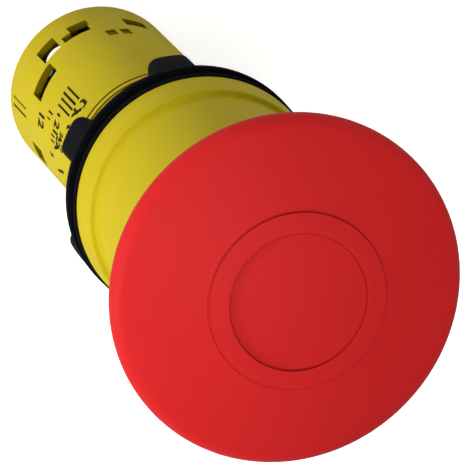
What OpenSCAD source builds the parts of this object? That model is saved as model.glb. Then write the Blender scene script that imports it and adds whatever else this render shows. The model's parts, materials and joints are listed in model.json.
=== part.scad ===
// Emergency stop push button for a 22 mm panel hole, push to latch and pull to release.
// Z runs along the button towards the head, and zero is the rear face of the gasket.
// -Y is the side with the longer row of windows.

/* [Head] */
// Diameter of the mushroom head
head_d = 40; // [38:0.5:42]
// Radius of the rounded edge of the head
head_edge_r = 2.1; // [1.8:0.1:2.4]
// Height of the crown above the middle of the edge
crown_h = 5.7; // [5.2:0.1:6.4]
// Distance from the panel to the middle of the head's edge
head_rim_z = 36.5; // [36.5:0.5:38]
// Inner radius of the raised ring on the crown
ring_in_r = 7.85; // [7:0.1:8.5]
// Outer radius of the raised ring on the crown
ring_out_r = 10.1; // [9.5:0.1:11]
// Height of the raised ring
ring_rise = 0.35; // [0.2:0.05:0.5]
// Thickness of the shell of the head
head_wall = 2.3; // [2:0.1:2.6]
// Radius of the boss under the head
boss_r = 9; // [8.6:0.1:9.2]
// Ribs under the head
rib_count = 6; // [4:1:8]
// Travel of the head from out to latched
travel = 4.3; // [3.8:0.1:4.3]

/* [Collar and neck] */
// Radius of the collar at its rear rim
collar_r = 14.5; // [14.3:0.1:15]
// Height of the rear rim of the collar
collar_rim_h = 4.6; // [4:0.1:5.2]
// Radius of the collar above the rim
collar_upper_r = 13.5; // [13.4:0.1:13.8]
// Top of the collar above the panel
collar_top_z = 28.5; // [28:0.1:29]
// Outer diameter of the thread on the neck
thread_d = 22; // [21.8:0.1:22]
// Pitch of the thread
thread_pitch = 1.5; // [1.4:0.1:1.6]
// Length of the neck behind the panel
neck_len = 14.4; // [14.2:0.1:15]

/* [Gasket, washer and nut] */
// Thickness of the gasket
gasket_t = 0.8; // [0.6:0.1:1]
// Radius of the gasket and of the washer
washer_r = 14.8; // [14.6:0.1:15]
// Thickness of the thrust washer
washer_t = 0.9; // [0.8:0.1:1.1]
// Gap between the gasket and the washer as drawn
panel_gap = 2.1; // [2.1:0.1:3]
// Height of the fixing nut
nut_h = 5.5; // [5:0.1:6]
// Radius over the lobes of the nut
nut_r = 14.7; // [14.3:0.1:15]
// Radius of the nut between the lobes
nut_valley_r = 12.3; // [12.1:0.1:12.6]
// Width of one lobe of the nut
lobe_w = 4.9; // [4.5:0.1:5.5]
// Rounding of the corners of a lobe
lobe_corner_r = 1.3; // [0.8:0.1:1.5]

/* [Rear housing] */
// Outer diameter of the rear housing
rear_d = 21.2; // [21.2:0.1:21.4]
// Thickness of the wall of the rear housing
rear_wall = 0.9; // [0.8:0.05:0.9]
// Rear face of the housing, measured behind the panel
rear_depth = 46.3; // [46:0.1:46.8]
// Thickness of the rear face
rear_face_t = 1.2; // [1:0.1:1.3]
// Rounding of the rear edge
rear_edge_r = 0.4; // [0.3:0.1:0.8]

/* [Latch] */
// Length of a pawl from the pin to its tip
pawl_len = 5; // [5:0.1:5.1]
// Width of a pawl
pawl_w = 3.2; // [3:0.1:3.3]
// Diameter of the pin of a pawl
pin_d = 1.5; // [1.4:0.1:1.5]
// Height of the pins above the panel
latch_z = 12; // [12:0.1:12.4]
// Thickness of the garter spring
garter_d = 1; // [0.8:0.1:1]

/* [Contacts] */
// Distance of the terminal screws from the axis
terminal_r = 5.6; // [5.5:0.05:5.65]
// Half of the angle between two terminals on one side
terminal_half_angle = 31.25; // [31:0.25:32]
// Thickness of the contact strips
strip_t = 0.6; // [0.5:0.05:0.7]
// Diameter of the thread of a terminal screw
screw_d = 3; // [2.8:0.1:3]
// Diameter of the head of a terminal screw
screw_head_d = 4.4; // [4:0.1:4.4]
// Opening for the wire in a terminal
wire_gap = 2.5; // [2.3:0.1:2.6]

/* [Hidden] */
$fn = 96;

// Clearances, each with its name.
eps = 0.01;
slide_gap = 0.05;
free_gap = 0.3;
contact_gap = 0.02;
thread_gap = 0.15;

// Head.
head_r = head_d / 2;
edge_c = head_r - head_edge_r;
rise = crown_h - head_edge_r;
dome_r = (edge_c * edge_c + crown_h * crown_h - head_edge_r * head_edge_r) / (2 * rise);
dome_z = head_rim_z + crown_h - dome_r;
tangent = dome_r / (dome_r - head_edge_r);
head_under_z = head_rim_z - head_edge_r;
boss_z = 21;
boss_flange = 2.2;
rim_inset = 0.9;
pocket_in_r = boss_r + boss_flange;
pocket_out_r = edge_c - rim_inset;
rib_w = 1.4;

// Stem.
stem_r = 5.4;
stem_top_z = 33;
stem_end_z = -13;
groove_core_r = 2.9;
groove_half = 0.95;
groove_flare = 0.5;
swing = asin(travel / 2 / pawl_len);
groove_z = latch_z + travel / 2;

// Front housing, with a shoulder as wide as the rear housing.
rear_r = rear_d / 2;
rear_in_r = rear_r - rear_wall;
shoulder_r = rear_r;
bore_r = 12;
ledge_z = 8;
floor_z = 3;
neck_bore_r = 8.4;
first_ridge = 0.3;
thread_r = thread_d / 2;
thread_depth = 0.92;
root_r = thread_r - thread_depth;
shoulder_h = 0.5;
rim_top_z = gasket_t + collar_rim_h;
rim_chamfer = collar_r - collar_upper_r;
collar_edge_r = 1;
rim_edge = 0.3;
key_w = 3.2;
key_r = 9.9;
key_dir = 90;

// Latch.
bush_z = 17;
seal_z = 25;
seal_inset = 0.5;
lip_w = 1;
lip_tip = 0.5;
lip_bevel = 0.4;
carrier_top_z = 16;
carrier_gap = 0.4;
carrier_bore_r = stem_r + carrier_gap;
carrier_floor = 0.6;
pawl_gap = 0.2;
pin_at = 9;
pin_r = pin_d / 2;
pin_len = 6.4;
tip_r = 0.8;
arm_half = 0.6;
hub_r = 1.5;
tail_len = 2.1;
tail_end = 2.5;
tail_half = 1.2;
garter_r = garter_d / 2;
notch_gap = 0.25;
notch_r = garter_r + notch_gap;
garter_at = pin_at + tail_len * (1 + cos(swing)) / 2;
garter_z = latch_z - tail_len * sin(swing);
channel_gap = 0.2;
channel_in_r = garter_at - garter_r - channel_gap;
channel_half = tail_len * sin(swing) + garter_r + free_gap;
pawl_dirs = [90, 210, 330];

// Washer and nut.
washer_z = -panel_gap;
nut_top_z = washer_z - washer_t - contact_gap;
nut_chamfer = 0.6;
lobe_start = -67;
lobe_count = 6;
lobe_foot_r = 0.6;
lobe_root = 0.5;

// Rear housing.
seam = 0.5;
rear_top_z = -neck_len - shoulder_h - seam;
rear_z = -rear_depth;
spigot_r = neck_bore_r;
spigot_in_r = 7;
spigot_len = 4;
driver_gap = 0.2;
driver_r = screw_head_d / 2 + driver_gap;
// Each window: direction, width in degrees, rear end and front end, both from the rear face.
windows = [
  [-107.25, 19.5, 7.3, 9.3],
  [-111.5, 14, 5.3, 7.4],
  [-86.25, 15, 5.1, 9.3],
  [-69.7, 23, 10.4, 13.6],
  [-148.8, 15.6, 6.2, 8.9],
  [-19.4, 13.8, 9.3, 14.2]
];
// Each shallow recess, stated like a window.
recesses = [
  [-136, 5, 11.1, 13.3],
  [-126, 5, 11.1, 13.3],
  [-44, 2, 1.7, 8],
  [-37, 2, 1.7, 8]
];
recess_depth = 0.4;

// Contacts, drawn along X and turned by contact_dir.
contact_dir = -117.5;
tx = terminal_r * cos(terminal_half_angle);
ty = terminal_r * sin(terminal_half_angle);
block_gap = 0.1;
block_h = 23.3;
base_r = rear_in_r - block_gap;
base_bottom_z = rear_z + rear_face_t;
base_top_z = base_bottom_z + block_h;
arm_depth = 2;
arm_z = base_top_z - arm_depth;
arm_in_x = 2.6;
leg_out_x = 7.8;
strip_w = 2.6;
rivet_r = 0.8;
rivet_h = 0.5;
rivet_x = 3.5;
plate_rise = 8.8;
plate_front_z = base_bottom_z + plate_rise;
plate_t = 1;
plate_half = 2.3;
clamp_t = 0.8;
clamp_half = 2.2;
clamp_z = plate_front_z - plate_t - wire_gap - clamp_t;
screw_r = screw_d / 2;
screw_head_h = 1.9;
screw_tail = 1.5;
screw_end_z = plate_front_z + screw_tail;
screw_head_z = clamp_z - contact_gap;
clamp_rest = 0.2;
clamp_travel = wire_gap - clamp_rest;
pocket_z = plate_front_z + block_gap;
pocket_x = arm_in_x - free_gap;
pocket_y = ty - plate_half - free_gap;
web_half = 1.2;
web_y = 4.6;
shaft_gap = 0.4;
shaft_half = web_half + shaft_gap;
shaft_y = web_y + shaft_gap;
carriage_top_z = stem_end_z;
carriage_disc_r = 5;
carriage_disc_h = 3.4;
carriage_rise = 13.8;
carriage_end_z = base_bottom_z + carriage_rise;
shaft_end_z = carriage_end_z - travel - shaft_gap;
bridge_t = 0.6;
bridge_half = 4.4;
bridge_w = 2.2;
bridge_z = arm_z - rivet_h - contact_gap - rivet_h - bridge_t;
bridge_gap = 0.2;
bridge_spring_h = 4;
window_half = bridge_w / 2 + bridge_gap;
window_top_z = bridge_z + bridge_t + free_gap;
window_end_z = bridge_z - bridge_spring_h;
chamber_x = 5.2;
chamber_y = 4.6;
chamber_gap = 1.1;
chamber_end_z = bridge_z - travel - chamber_gap;
spring_bore_r = 1.8;
spring_rise = 4.8;
spring_floor_z = base_bottom_z + spring_rise;
spring_d = 3;
bridge_spring_d = 2;
wire_d = 0.35;

// A ring between two radii, from one height to another.
module ring(r_out, r_in, z0, z1) {
  translate([0, 0, z0])
    difference() {
      cylinder(r = r_out, h = z1 - z0);
      translate([0, 0, -1]) cylinder(r = r_in, h = z1 - z0 + 2);
    }
}

// A box from one corner to the other.
module box(a, b) {
  translate(a) cube(b - a);
}

// A box that cuts into the rear housing's wall, with its ends measured from the rear face.
module wall_cut(dir, width, z0, z1, r_in, r_out) {
  half = rear_r * sin(width / 2);
  rotate([0, 0, dir]) box([r_in, -half, rear_z + z0], [r_out, half, rear_z + z1]);
}

// A coil spring along Z, as a closed skin round a helix.
module coil(outer_d, wire, z0, z1, turns) {
  sides = 6;
  per_turn = 14;
  steps = turns * per_turn;
  mean_r = (outer_d - wire) / 2;
  lift = (z1 - z0 - wire) / steps;
  points = [
    for (i = [0 : steps], k = [0 : sides - 1])
      let (
        turn = i * 360 / per_turn,
        side = k * 360 / sides,
        at = mean_r + wire / 2 * cos(side)
      )
      [at * cos(turn), at * sin(turn), z0 + wire / 2 + i * lift + wire / 2 * sin(side)]
  ];
  skin = [
    for (i = [0 : steps - 1], k = [0 : sides - 1])
      [
        i * sides + k,
        (i + 1) * sides + k,
        (i + 1) * sides + (k + 1) % sides,
        i * sides + (k + 1) % sides
      ]
  ];
  start_cap = [[for (k = [0 : sides - 1]) k]];
  end_cap = [[for (k = [sides - 1 : -1 : 0]) steps * sides + k]];
  polyhedron(points = points, faces = concat(start_cap, skin, end_cap));
}

// The area under the dome, out to the edge's centre.
module dome_area(r) {
  intersection() {
    translate([0, dome_z]) circle(r = r);
    polygon([
      [0, head_under_z],
      [edge_c, head_under_z],
      [edge_c, head_rim_z],
      [edge_c * tangent, dome_z + (head_rim_z - dome_z) * tangent],
      [edge_c * tangent, head_rim_z + crown_h + 1],
      [0, head_rim_z + crown_h + 1]
    ]);
  }
}

// The raised ring's area in the same section.
module ring_area() {
  intersection() {
    translate([0, dome_z]) circle(r = dome_r + ring_rise);
    translate([ring_in_r, head_rim_z]) square([ring_out_r - ring_in_r, crown_h + 2]);
  }
}

// The hollow under the shell of the head.
module head_hollow() {
  rotate_extrude()
    intersection() {
      translate([0, dome_z]) circle(r = dome_r - head_wall);
      translate([pocket_in_r, head_under_z - 1])
        square([pocket_out_r - pocket_in_r, crown_h + head_edge_r + 2]);
    }
}

module head_cap() {
  color("red") {
    difference() {
      union() {
        rotate_extrude() {
          dome_area(dome_r);
          translate([edge_c, head_rim_z]) circle(r = head_edge_r);
          ring_area();
        }
        translate([0, 0, boss_z]) cylinder(r = boss_r, h = head_rim_z - boss_z);
      }
      difference() {
        head_hollow();
        for (i = [0 : rib_count - 1])
          rotate([0, 0, i * 360 / rib_count])
            box([0, -rib_w / 2, head_under_z], [head_r, rib_w / 2, head_rim_z + crown_h]);
      }
      translate([0, 0, boss_z - 1]) cylinder(r = stem_r, h = stem_top_z - boss_z + 1);
    }
  }
}

module stem() {
  color("dimgray")
    rotate_extrude()
      polygon([
        [0, stem_end_z],
        [stem_r, stem_end_z],
        [stem_r, groove_z - groove_half - groove_flare],
        [groove_core_r, groove_z - groove_half],
        [groove_core_r, groove_z + groove_half],
        [stem_r, groove_z + groove_half + groove_flare],
        [stem_r, stem_top_z],
        [0, stem_top_z]
      ]);
}

// The thread is drawn as a row of ridges round the neck.
module neck_outline() {
  ridges = floor((neck_len - 2 * first_ridge) / thread_pitch);
  polygon(concat(
    [[neck_bore_r, gasket_t], [neck_bore_r, -neck_len - shoulder_h]],
    [[shoulder_r, -neck_len - shoulder_h], [shoulder_r, -neck_len]],
    [
      for (i = [ridges - 1 : -1 : 0], k = [0 : 2])
        [k == 1 ? thread_r : root_r, -first_ridge - (i + 1 - k / 2) * thread_pitch]
    ],
    [[root_r, gasket_t]]
  ));
}

// The collar in section, with a wall across the neck that the stem passes.
module collar_outline() {
  edge_r = collar_upper_r - collar_edge_r;
  edge_z = collar_top_z - collar_edge_r;
  polygon([
    [stem_r + slide_gap, floor_z],
    [neck_bore_r, floor_z],
    [neck_bore_r, gasket_t],
    [collar_r - rim_edge, gasket_t],
    [collar_r, gasket_t + rim_edge],
    [collar_r, rim_top_z],
    [collar_upper_r, rim_top_z + rim_chamfer / 2],
    [collar_upper_r, edge_z],
    [edge_r, edge_z],
    [edge_r, collar_top_z],
    [bore_r, collar_top_z],
    [bore_r, ledge_z],
    [stem_r + slide_gap, ledge_z]
  ]);
  translate([edge_r, edge_z])
    intersection() {
      circle(r = collar_edge_r);
      translate([-free_gap, -free_gap]) square(collar_edge_r + free_gap);
    }
}

module front_housing() {
  color("gold")
    difference() {
      union() {
        rotate_extrude() neck_outline();
        rotate_extrude() collar_outline();
      }
      rotate([0, 0, key_dir])
        box([key_r, -key_w / 2, -neck_len - 1], [thread_r + 1, key_w / 2, -0.2]);
    }
}

module gasket() {
  color("black") ring(washer_r - 0.1, thread_r + thread_gap, 0, gasket_t);
}

module thrust_washer() {
  color("black") {
    ring(washer_r, thread_r + thread_gap, washer_z - washer_t, washer_z);
    rotate([0, 0, key_dir])
      box(
        [key_r + free_gap, -key_w / 2 + thread_gap, washer_z - washer_t],
        [thread_r + 1, key_w / 2 - thread_gap, washer_z]
      );
  }
}

// What the rear chamfer takes off the lobes of the nut.
module nut_trim() {
  end_z = nut_top_z - nut_h;
  rotate_extrude()
    polygon([
      [nut_r - nut_chamfer - 1, end_z - 1],
      [nut_r + 1, end_z - 1],
      [nut_r + 1, end_z + nut_chamfer + 1]
    ]);
}

// The fillet between a lobe and the round of the nut, in plan.
module lobe_foot_plan() {
  foot_y = lobe_w / 2 + lobe_foot_r;
  foot_x = sqrt(pow(nut_valley_r + lobe_foot_r, 2) - pow(foot_y, 2));
  share = nut_valley_r / (nut_valley_r + lobe_foot_r);
  difference() {
    polygon([
      [foot_x, lobe_w / 2],
      [foot_x, foot_y],
      [foot_x * share, foot_y * share],
      [foot_x * share - lobe_root, lobe_w / 2 - lobe_root]
    ]);
    translate([foot_x, foot_y]) circle(r = lobe_foot_r);
  }
}

// One lobe of the nut in plan, along X.
module lobe_plan() {
  tip_y = lobe_w / 2 - lobe_corner_r;
  tip_x = sqrt(pow(nut_r - lobe_corner_r, 2) - pow(tip_y, 2));
  intersection() {
    circle(r = nut_r);
    polygon([[0, 0], [2 * tip_x, -2 * tip_y], [2 * tip_x, 2 * tip_y]]);
  }
  root_x = thread_r + lobe_root;
  translate([root_x, -lobe_w / 2]) square([tip_x - root_x, lobe_w]);
  for (side = [0, 1])
    mirror([0, side]) {
      translate([tip_x, tip_y]) circle(r = lobe_corner_r);
      lobe_foot_plan();
    }
}

// Drawn with a valley at zero, then turned so that the lobes lie as they should.
module fixing_nut() {
  step = 360 / lobe_count;
  color("black")
    rotate([0, 0, lobe_start - step / 2])
      difference() {
        translate([0, 0, nut_top_z - nut_h])
          linear_extrude(height = nut_h) {
            circle(r = nut_valley_r);
            for (i = [0 : lobe_count - 1])
              rotate((i + 0.5) * step) lobe_plan();
          }
        nut_trim();
        translate([0, 0, nut_top_z - nut_h - 1])
          cylinder(r = thread_r + slide_gap, h = nut_h + 2);
      }
}

module lip_seal() {
  top_z = collar_top_z - seal_inset;
  color("black")
    rotate_extrude()
      polygon([
        [bore_r, seal_z],
        [bore_r, top_z],
        [boss_r + lip_w + lip_bevel, top_z],
        [boss_r + slide_gap, top_z - lip_bevel],
        [boss_r + slide_gap, top_z - lip_bevel - lip_tip],
        [boss_r + lip_w, seal_z + lip_w],
        [boss_r + lip_w, seal_z]
      ]);
}

module guide_bush() {
  color("dimgray") ring(bore_r, boss_r + slide_gap, bush_z, seal_z);
}

module pawl_carrier() {
  color("dimgray")
    difference() {
      ring(bore_r, carrier_bore_r, ledge_z, carrier_top_z);
      ring(bore_r + 1, channel_in_r, latch_z - channel_half, latch_z + channel_half);
      for (dir = pawl_dirs)
        rotate([0, 0, dir]) {
          box(
            [carrier_bore_r - 1, -pawl_w / 2 - pawl_gap, ledge_z + carrier_floor],
            [bore_r + 1, pawl_w / 2 + pawl_gap, carrier_top_z + 1]
          );
          translate([pin_at, 0, latch_z])
            rotate([90, 0, 0]) cylinder(r = pin_r, h = pin_len, center = true);
        }
    }
}

// One pawl in section: tip, arm, hub and forked tail, with the pin at zero.
module pawl_outline() {
  difference() {
    union() {
      translate([-pawl_len, 0]) circle(r = tip_r);
      translate([-pawl_len, -arm_half]) square([pawl_len, 2 * arm_half]);
      circle(r = hub_r);
      translate([0, -tail_half]) square([tail_end, 2 * tail_half]);
    }
    circle(r = pin_r + slide_gap);
    translate([tail_len, 0]) circle(r = notch_r);
    translate([tail_len, -notch_r]) square([tail_end, 2 * notch_r]);
  }
}

module pawl(dir) {
  color("silver")
    rotate([0, 0, dir])
      translate([pin_at, 0, latch_z])
        rotate([0, swing, 0])
          rotate([90, 0, 0]) linear_extrude(height = pawl_w, center = true) pawl_outline();
}

module pawl_pin(dir) {
  color("silver")
    rotate([0, 0, dir])
      translate([pin_at, 0, latch_z])
        rotate([90, 0, 0]) cylinder(r = pin_r, h = pin_len, center = true);
}

module garter_spring() {
  color("silver")
    rotate_extrude() translate([garter_at, garter_z]) circle(r = garter_r);
}

module rear_housing() {
  color("gold")
    difference() {
      union() {
        rotate_extrude() {
          difference() {
            union() {
              translate([0, rear_z + rear_edge_r]) square([rear_r, rear_top_z - rear_z - rear_edge_r]);
              translate([0, rear_z]) square([rear_r - rear_edge_r, rear_edge_r]);
              translate([rear_r - rear_edge_r, rear_z + rear_edge_r]) circle(r = rear_edge_r);
            }
            translate([-1, rear_z + rear_face_t]) square([rear_in_r + 1, rear_depth]);
          }
          translate([spigot_in_r, rear_top_z - 1]) square([rear_in_r - spigot_in_r + eps, 1]);
          translate([spigot_in_r, rear_top_z - 1])
            square([spigot_r - spigot_in_r, 1 + seam + spigot_len]);
        }
      }
      for (half_turn = [0, 180]) {
        for (w = windows)
          wall_cut(w[0] + half_turn, w[1], w[2], w[3], rear_in_r - 0.6, rear_r + 1);
        for (w = recesses)
          wall_cut(w[0] + half_turn, w[1], w[2], w[3], rear_r - recess_depth, rear_r + 1);
      }
      rotate([0, 0, contact_dir])
        for (sx = [-1, 1], sy = [-1, 1])
          translate([sx * tx, sy * ty, rear_z - 1]) cylinder(r = driver_r, h = rear_face_t + 2);
    }
}

// Mirrors a shape into one quarter of the contact space.
module quarter(sx, sy) {
  rotate([0, 0, contact_dir])
    mirror([sx < 0 ? 1 : 0, 0, 0])
      mirror([0, sy < 0 ? 1 : 0, 0])
        children();
}

module contact_base() {
  color("black")
    difference() {
      translate([0, 0, base_bottom_z]) cylinder(r = base_r, h = base_top_z - base_bottom_z);
      rotate([0, 0, contact_dir]) {
        box([-shaft_half, -shaft_y, shaft_end_z], [shaft_half, shaft_y, base_top_z + 1]);
        box([-chamber_x, -chamber_y, chamber_end_z], [chamber_x, chamber_y, base_top_z + 1]);
      }
      translate([0, 0, spring_floor_z])
        cylinder(r = spring_bore_r, h = shaft_end_z - spring_floor_z + 1);
      for (sx = [-1, 1], sy = [-1, 1])
        quarter(sx, sy) {
          box(
            [chamber_x - 1, ty - strip_w / 2, arm_z],
            [base_r + 1, ty + strip_w / 2, base_top_z + 1]
          );
          box(
            [leg_out_x - strip_t, ty - strip_w / 2, pocket_z - 1],
            [base_r + 1, ty + strip_w / 2, base_top_z + 1]
          );
          box([pocket_x, pocket_y, base_bottom_z - 1], [base_r + 1, base_r, pocket_z]);
          translate([tx, ty, pocket_z - 1])
            cylinder(r = screw_r + free_gap, h = screw_end_z + clamp_travel + free_gap + 1 - pocket_z);
        }
    }
}

module contact_carriage() {
  color("white")
    difference() {
      union() {
        translate([0, 0, carriage_top_z - carriage_disc_h])
          cylinder(r = carriage_disc_r, h = carriage_disc_h);
        rotate([0, 0, contact_dir])
          box([-web_half, -web_y, carriage_end_z], [web_half, web_y, carriage_top_z - 1]);
      }
      rotate([0, 0, contact_dir])
        for (side = [-1, 1])
          box(
            [-web_half - 1, side * ty - window_half, window_end_z],
            [web_half + 1, side * ty + window_half, window_top_z]
          );
    }
}

module bridge(side) {
  color("goldenrod")
    rotate([0, 0, contact_dir])
      translate([0, side * ty, bridge_z]) {
        translate([-bridge_half, -bridge_w / 2, 0]) cube([2 * bridge_half, bridge_w, bridge_t]);
        for (sx = [-1, 1])
          translate([sx * rivet_x, 0, bridge_t - eps]) cylinder(r = rivet_r, h = rivet_h + eps);
      }
}

module bridge_spring(side) {
  color("silver")
    rotate([0, 0, contact_dir])
      translate([0, side * ty, 0])
        coil(bridge_spring_d, wire_d, window_end_z, bridge_z, 5);
}

module carriage_spring() {
  color("silver") coil(spring_d, wire_d, spring_floor_z, carriage_end_z, 8);
}

module terminal(sx, sy) {
  color("goldenrod")
    quarter(sx, sy)
      difference() {
        union() {
          box(
            [arm_in_x, ty - strip_w / 2, arm_z],
            [leg_out_x, ty + strip_w / 2, arm_z + strip_t]
          );
          translate([rivet_x, ty, arm_z - rivet_h]) cylinder(r = rivet_r, h = rivet_h + eps);
          box(
            [leg_out_x - strip_t, ty - strip_w / 2, plate_front_z - plate_t],
            [leg_out_x, ty + strip_w / 2, arm_z + strip_t]
          );
          box(
            [arm_in_x, ty - plate_half, plate_front_z - plate_t],
            [leg_out_x, ty + plate_half, plate_front_z]
          );
        }
        translate([tx, ty, plate_front_z - plate_t - 1])
          cylinder(r = screw_r + slide_gap, h = plate_t + 2);
      }
}

module clamp(sx, sy) {
  color("silver")
    quarter(sx, sy)
      difference() {
        box(
          [tx - clamp_half, ty - clamp_half, clamp_z],
          [tx + clamp_half, ty + clamp_half, clamp_z + clamp_t]
        );
        translate([tx, ty, clamp_z - 1]) cylinder(r = screw_r + slide_gap, h = clamp_t + 2);
      }
}

module screw(sx, sy) {
  slot_w = 0.7;
  slot_depth = 1;
  color("silver")
    quarter(sx, sy)
      translate([tx, ty, 0])
        difference() {
          union() {
            translate([0, 0, screw_head_z - screw_head_h])
              cylinder(r = screw_head_d / 2, h = screw_head_h);
            translate([0, 0, screw_head_z - eps])
              cylinder(r = screw_r, h = screw_end_z - screw_head_z + eps);
          }
          for (dir = [0, 90])
            rotate([0, 0, dir])
              box(
                [-screw_head_d / 3, -slot_w / 2, screw_head_z - screw_head_h - 1],
                [screw_head_d / 3, slot_w / 2, screw_head_z - screw_head_h + slot_depth]
              );
        }
}

head_cap();
stem();
front_housing();
gasket();
thrust_washer();
fixing_nut();
lip_seal();
guide_bush();
pawl_carrier();
pawl(pawl_dirs[0]);  // pawl_1
pawl(pawl_dirs[1]);  // pawl_2
pawl(pawl_dirs[2]);  // pawl_3
pawl_pin(pawl_dirs[0]);  // pawl_pin_1
pawl_pin(pawl_dirs[1]);  // pawl_pin_2
pawl_pin(pawl_dirs[2]);  // pawl_pin_3
garter_spring();
rear_housing();
contact_base();
contact_carriage();
bridge(1);  // bridge_1
bridge(-1);  // bridge_2
bridge_spring(1);  // bridge_spring_1
bridge_spring(-1);  // bridge_spring_2
carriage_spring();
terminal(1, 1);  // terminal_11
terminal(-1, 1);  // terminal_12
terminal(1, -1);  // terminal_21
terminal(-1, -1);  // terminal_22
clamp(1, 1);  // clamp_11
clamp(-1, 1);  // clamp_12
clamp(1, -1);  // clamp_21
clamp(-1, -1);  // clamp_22
screw(1, 1);  // screw_11
screw(-1, 1);  // screw_12
screw(1, -1);  // screw_21
screw(-1, -1);  // screw_22
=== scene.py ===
"""Emergency stop push button: the looks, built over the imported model."""

from __future__ import annotations

import json
import logging
import math
from collections.abc import Iterable, Sequence
from dataclasses import dataclass
from enum import Enum

import bmesh
import bpy
from mathutils import Matrix, Vector

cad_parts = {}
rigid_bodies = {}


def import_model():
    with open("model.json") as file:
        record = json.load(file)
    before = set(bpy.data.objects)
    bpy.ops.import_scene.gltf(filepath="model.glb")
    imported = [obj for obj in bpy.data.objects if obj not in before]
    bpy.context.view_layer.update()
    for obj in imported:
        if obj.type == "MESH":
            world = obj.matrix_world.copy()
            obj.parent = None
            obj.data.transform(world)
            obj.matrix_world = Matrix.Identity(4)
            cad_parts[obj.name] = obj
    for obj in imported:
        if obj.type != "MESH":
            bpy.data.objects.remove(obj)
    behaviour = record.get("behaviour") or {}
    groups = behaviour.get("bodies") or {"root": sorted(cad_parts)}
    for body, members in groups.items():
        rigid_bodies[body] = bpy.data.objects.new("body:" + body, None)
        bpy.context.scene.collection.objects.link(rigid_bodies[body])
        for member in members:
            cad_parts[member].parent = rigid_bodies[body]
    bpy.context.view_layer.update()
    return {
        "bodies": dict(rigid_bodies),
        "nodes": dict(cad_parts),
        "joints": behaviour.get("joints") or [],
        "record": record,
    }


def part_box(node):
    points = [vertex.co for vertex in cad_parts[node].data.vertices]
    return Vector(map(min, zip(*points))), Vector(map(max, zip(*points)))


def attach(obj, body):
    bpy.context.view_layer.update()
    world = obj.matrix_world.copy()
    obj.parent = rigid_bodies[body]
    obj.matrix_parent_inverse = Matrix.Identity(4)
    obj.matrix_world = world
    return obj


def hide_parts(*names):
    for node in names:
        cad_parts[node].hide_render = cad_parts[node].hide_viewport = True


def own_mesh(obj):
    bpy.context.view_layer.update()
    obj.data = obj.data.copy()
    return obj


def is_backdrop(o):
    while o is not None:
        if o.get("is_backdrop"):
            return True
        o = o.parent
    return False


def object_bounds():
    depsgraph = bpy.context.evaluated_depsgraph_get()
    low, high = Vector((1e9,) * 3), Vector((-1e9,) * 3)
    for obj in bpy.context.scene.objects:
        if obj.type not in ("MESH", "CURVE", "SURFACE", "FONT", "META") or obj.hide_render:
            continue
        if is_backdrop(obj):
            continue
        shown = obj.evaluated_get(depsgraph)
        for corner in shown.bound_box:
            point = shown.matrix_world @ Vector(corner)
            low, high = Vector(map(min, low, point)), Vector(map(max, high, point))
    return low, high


LOG = logging.getLogger("stop_button")
MM = 0.001
TURN = 2 * math.pi
AXIS = Vector((0, 0, 1))
WELD = 1e-7
TERMINALS = ("11", "12", "21", "22")
Colour = tuple[float, float, float]
Inputs = dict[int | str, object]
BMesh = bmesh.types.BMesh


class Body(Enum):
    """The moving bodies that the dressed pieces ride on."""

    HOUSING = "housing"
    BUTTON = "button"
    WASHER = "washer"
    NUT = "nut"
    GARTER = "garter"


# Shader graph


class Sock:
    """An output socket that takes part in Python arithmetic."""

    def __init__(self, graph: Graph, socket: bpy.types.NodeSocket) -> None:
        """Keep the graph that new Math nodes go into, and the socket."""
        self.graph = graph
        self.socket = socket

    def _math(self, operation: str, other: Sock | float) -> Sock:
        """Add a Math node that takes this value and another."""
        return self.graph.node("ShaderNodeMath", {0: self, 1: other}, {"operation": operation})

    def __add__(self, other: Sock | float) -> Sock:
        """Sum."""
        return self._math("ADD", other)

    def __sub__(self, other: Sock | float) -> Sock:
        """Difference."""
        return self._math("SUBTRACT", other)

    def __mul__(self, other: Sock | float) -> Sock:
        """Product."""
        return self._math("MULTIPLY", other)

    def __pow__(self, power: float) -> Sock:
        """Power."""
        return self._math("POWER", power)

    def __abs__(self) -> Sock:
        """Size without the sign."""
        return self._math("ABSOLUTE", 0.0)

    def __gt__(self, other: Sock | float) -> Sock:
        """One where the value is larger, else zero."""
        return self._math("GREATER_THAN", other)

    def __lt__(self, other: Sock | float) -> Sock:
        """One where the value is smaller, else zero."""
        return self._math("LESS_THAN", other)


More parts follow.
